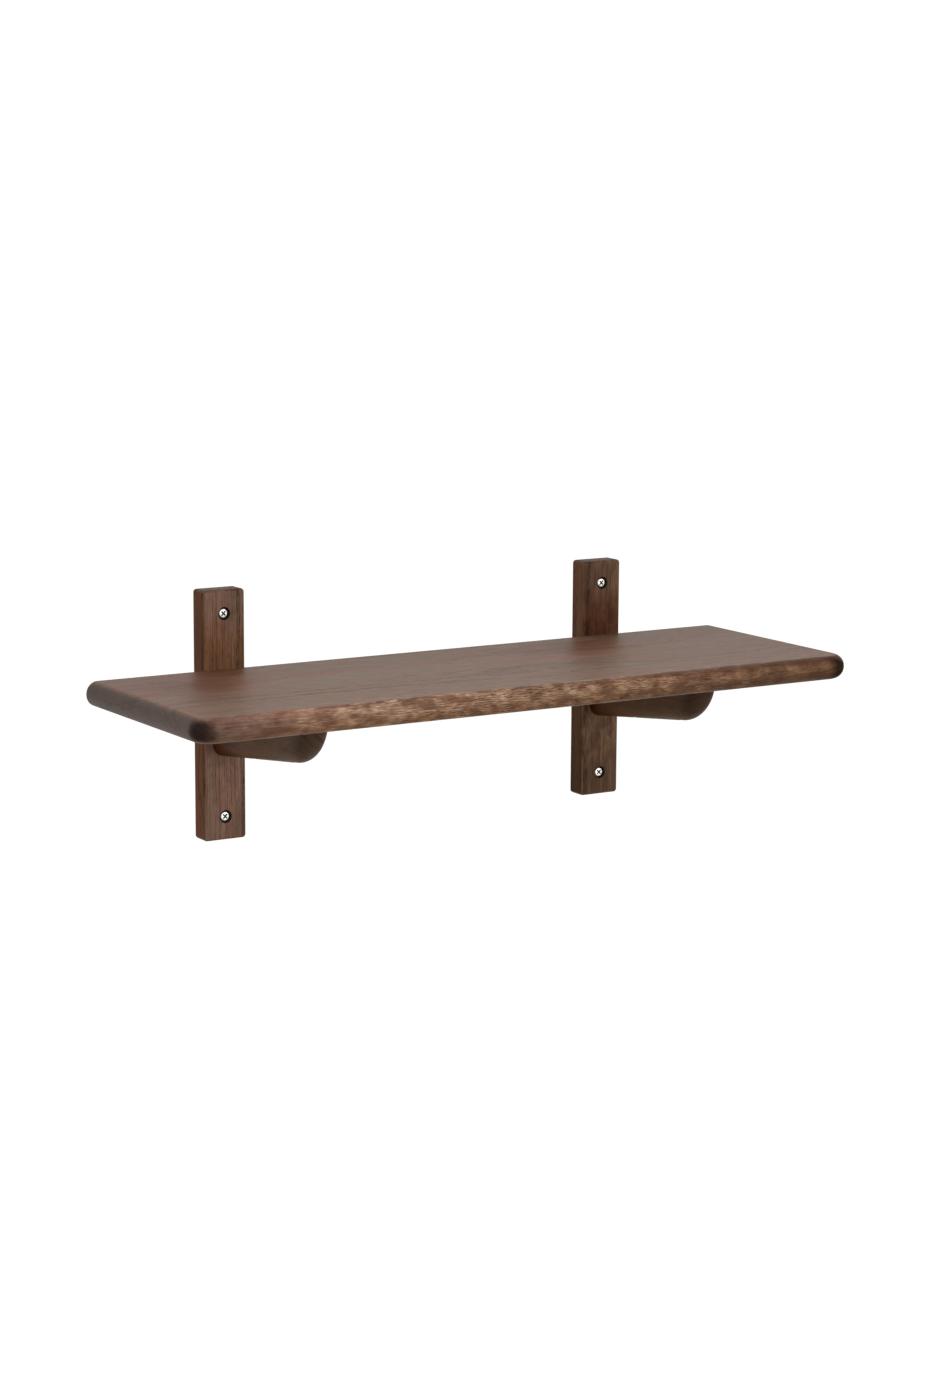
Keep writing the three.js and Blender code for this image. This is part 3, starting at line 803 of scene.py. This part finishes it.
# All sizes in mm. The axis is Z, the head is up and its seat, or a sunk head's top, is at 0.
screws = {
    "pan": {
        "length": 40, "radius": 2, "core": 1.35, "pitch": 1.8, "tip": 5, "plain": 0.8,
        "headRadius": 4.2, "headHeight": 2.8, "headRim": 0.9, "headRound": 1.4, "headEdge": 0.15,
        "sunk": False, "recessSpan": 5, "recessWidth": 1.35, "recessDepth": 1.9,
    },
    "sunk": {
        "length": 60, "radius": 2.5, "core": 1.7, "pitch": 2.4, "tip": 6, "plain": 20,
        "headRadius": 4.7, "headHeight": 2.7, "headRim": 0.4, "headEdge": 0.06,
        "sunk": True, "recessSpan": 5, "recessWidth": 1.25, "recessDepth": 2.2,
    },
}
screwFacets = {"around": 32, "perThread": 8, "shoulder": 8, "sharpFrom": 38}   # the last in degrees
# how steep the thread's flanks are, and where the plain shank lies between its core and its crest
thread = {"steepness": 3.2, "shank": 0.6}
# a wing of the cross: how far its cutter reaches above the head, its span at the bottom as a share of
# recessSpan, and its widths at the bottom and at the top as shares of recessWidth
recess = {
    "over": 1.2, "bottomSpan": 0.5, "widths": (0.75, 1.1), "round": 0.14, "roundSteps": 2, "profile": 0.5,
}


def headRings(spec):
    # from the neck to the crown, as radius and height
    radius, edge = spec["headRadius"], spec["headEdge"]
    if spec["sunk"]:
        return [(radius, -spec["headRim"]), (radius, -edge), (radius - edge, 0), (radius / 2, 0)]
    rings = [(radius - edge, 0), (radius, edge)]
    rise = spec["headHeight"] - spec["headRim"]
    for step in range(screwFacets["shoulder"] + 1):
        angle = step / screwFacets["shoulder"] * math.pi / 2
        rings.append((radius - spec["headRound"] * (1 - math.cos(angle)),
                      spec["headRim"] + rise * math.sin(angle)))
    return rings


def screwRings(spec):
    # each ring is a radius, a height and how far the thread stands out there, from the tip to the crown
    neck = -spec["headHeight"] if spec["sunk"] else 0
    start = -spec["length"]
    threadTop = neck - spec["plain"]
    step = spec["pitch"] / screwFacets["perThread"]
    shankRise = (spec["radius"] - spec["core"]) * thread["shank"]
    rings = []
    count = int((threadTop - start) / step)
    for index in range(1, count + 1):
        height = start + index * (threadTop - start) / count
        taper = min(1, (height - start) / spec["tip"])
        fade = min(1, (threadTop - height) / spec["pitch"])
        core = (spec["core"] + (1 - fade) * shankRise) * taper
        crest = (spec["radius"] * taper - core) * fade
        rings.append((core, height, crest))
    rings.append((spec["core"] + shankRise, neck, 0))
    rings += [(radius, height, 0) for radius, height in headRings(spec)]
    return rings


def crossCutter(spec, turn):
    # one wing of the cross, wide at the top and narrow at the bottom, its ends rounded by a bevel
    top = 0 if spec["sunk"] else spec["headHeight"]
    topHalf = spec["recessSpan"] / 2
    bottomHalf = topHalf * recess["bottomSpan"]
    slope = (topHalf - bottomHalf) / spec["recessDepth"]
    over = recess["over"]
    levels = ((top - spec["recessDepth"], bottomHalf), (top + over, topHalf + slope * over))
    cutter = bmesh.new()
    corners = []
    for (height, half), share in zip(levels, recess["widths"]):
        wide = spec["recessWidth"] / 2 * share
        for x, y in ((-half, -wide), (half, -wide), (half, wide), (-half, wide)):
            corners.append(cutter.verts.new((x * mm, y * mm, height * mm)))
    for face in ((3, 2, 1, 0), (4, 5, 6, 7), (0, 1, 5, 4), (1, 2, 6, 5), (2, 3, 7, 6), (3, 0, 4, 7)):
        cutter.faces.new([corners[i] for i in face])
    bmesh.ops.bevel(cutter, geom=cutter.edges[:], offset=recess["round"] * mm,
                    segments=recess["roundSteps"], affect="EDGES", profile=recess["profile"])
    bmesh.ops.rotate(cutter, verts=cutter.verts, matrix=Matrix.Rotation(turn, 3, "Z"))
    mesh = bpy.data.meshes.new("crossCutter")
    cutter.to_mesh(mesh)
    cutter.free()
    mesh.materials.append(shadedRecessZinc)
    tool = bpy.data.objects.new("crossCutter", mesh)
    bpy.context.scene.collection.objects.link(tool)
    return tool


def turnBlank(name, spec):
    # the screw before its cross is punched, as rings of points from the tip to the crown
    around = screwFacets["around"]
    shape = bmesh.new()
    tip = shape.verts.new((0, 0, -spec["length"] * mm))
    rows = []
    for radius, height, crest in screwRings(spec):
        row = []
        for index in range(around):
            share = index / around
            wave = (height / spec["pitch"] - share) % 1
            ridge = max(0, 1 - abs(wave - 0.5) * thread["steepness"])
            reach = (radius + crest * ridge) * mm
            angle = share * 2 * math.pi
            row.append(shape.verts.new((reach * math.cos(angle), reach * math.sin(angle), height * mm)))
        rows.append(row)
    crownHeight = 0 if spec["sunk"] else spec["headHeight"]
    crown = shape.verts.new((0, 0, crownHeight * mm))
    for index in range(around):
        after = (index + 1) % around
        shape.faces.new((tip, rows[0][after], rows[0][index]))
        shape.faces.new((rows[-1][index], rows[-1][after], crown))
        for below, above in zip(rows, rows[1:]):
            shape.faces.new((below[index], below[after], above[after], above[index]))
    neck = -spec["headHeight"] * mm if spec["sunk"] else 0
    metals = (plated, shadedRecessZinc, rolled)
    for face in shape.faces:
        isHead = face.calc_center_median().z > neck
        face.material_index = metals.index(plated if isHead else rolled)
    mesh = bpy.data.meshes.new(name)
    shape.to_mesh(mesh)
    shape.free()
    for metal in metals:
        mesh.materials.append(metal)
    blank = bpy.data.objects.new(name, mesh)
    bpy.context.scene.collection.objects.link(blank)
    return blank


def makeScrewMesh(name, spec):
    blank = turnBlank(name, spec)
    tools = [crossCutter(spec, turn) for turn in (math.pi / 4, -math.pi / 4)]
    for tool in tools:
        cut = blank.modifiers.new("recess", "BOOLEAN")
        cut.operation = "DIFFERENCE"
        cut.solver = "EXACT"
        cut.object = tool
        cut.material_mode = "TRANSFER"
    bpy.context.view_layer.update()
    shown = blank.evaluated_get(bpy.context.evaluated_depsgraph_get())
    finished = bpy.data.meshes.new_from_object(shown)
    finished.name = name
    for item in (blank, *tools):
        bpy.data.objects.remove(item)
    finished.shade_smooth()
    finished.set_sharp_from_angle(angle=math.radians(screwFacets["sharpFrom"]))
    return finished


# Turns about X bring the head to the front, to below and to the back.
screwPlaces = {
    "wall": {"kind": "pan", "turn": math.pi / 2, "names": ("upper", "lower")},
    "board": {"kind": "pan", "turn": math.pi, "names": ("back", "front")},
    "arm": {"kind": "sunk", "turn": -math.pi / 2, "names": ("upper", "lower")},
}


def placeScrews():
    meshes = {kind: makeScrewMesh(kind + "Screw", spec) for kind, spec in screws.items()}
    for family, places in screwPlaces.items():
        spec = screws[places["kind"]]
        for side in ("left", "right"):
            for name in places["names"]:
                node = f"{side}_{name}_{family}_screw"
                low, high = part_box(node)
                at = (low + high) / 2
                if family == "wall":
                    at.y = high.y - spec["length"] * mm      # the seat
                elif family == "board":
                    at.z = high.z - spec["length"] * mm
                else:
                    at.y = high.y                            # flush with the upright's back
                screw = bpy.data.objects.new(node + "_detail", meshes[places["kind"]])
                bpy.context.scene.collection.objects.link(screw)
                screw.matrix_world = Matrix.Translation(at) @ Matrix.Rotation(places["turn"], 4, "X")
                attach(screw, "root")
                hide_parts(node)


placeScrews()
print("screws placed")
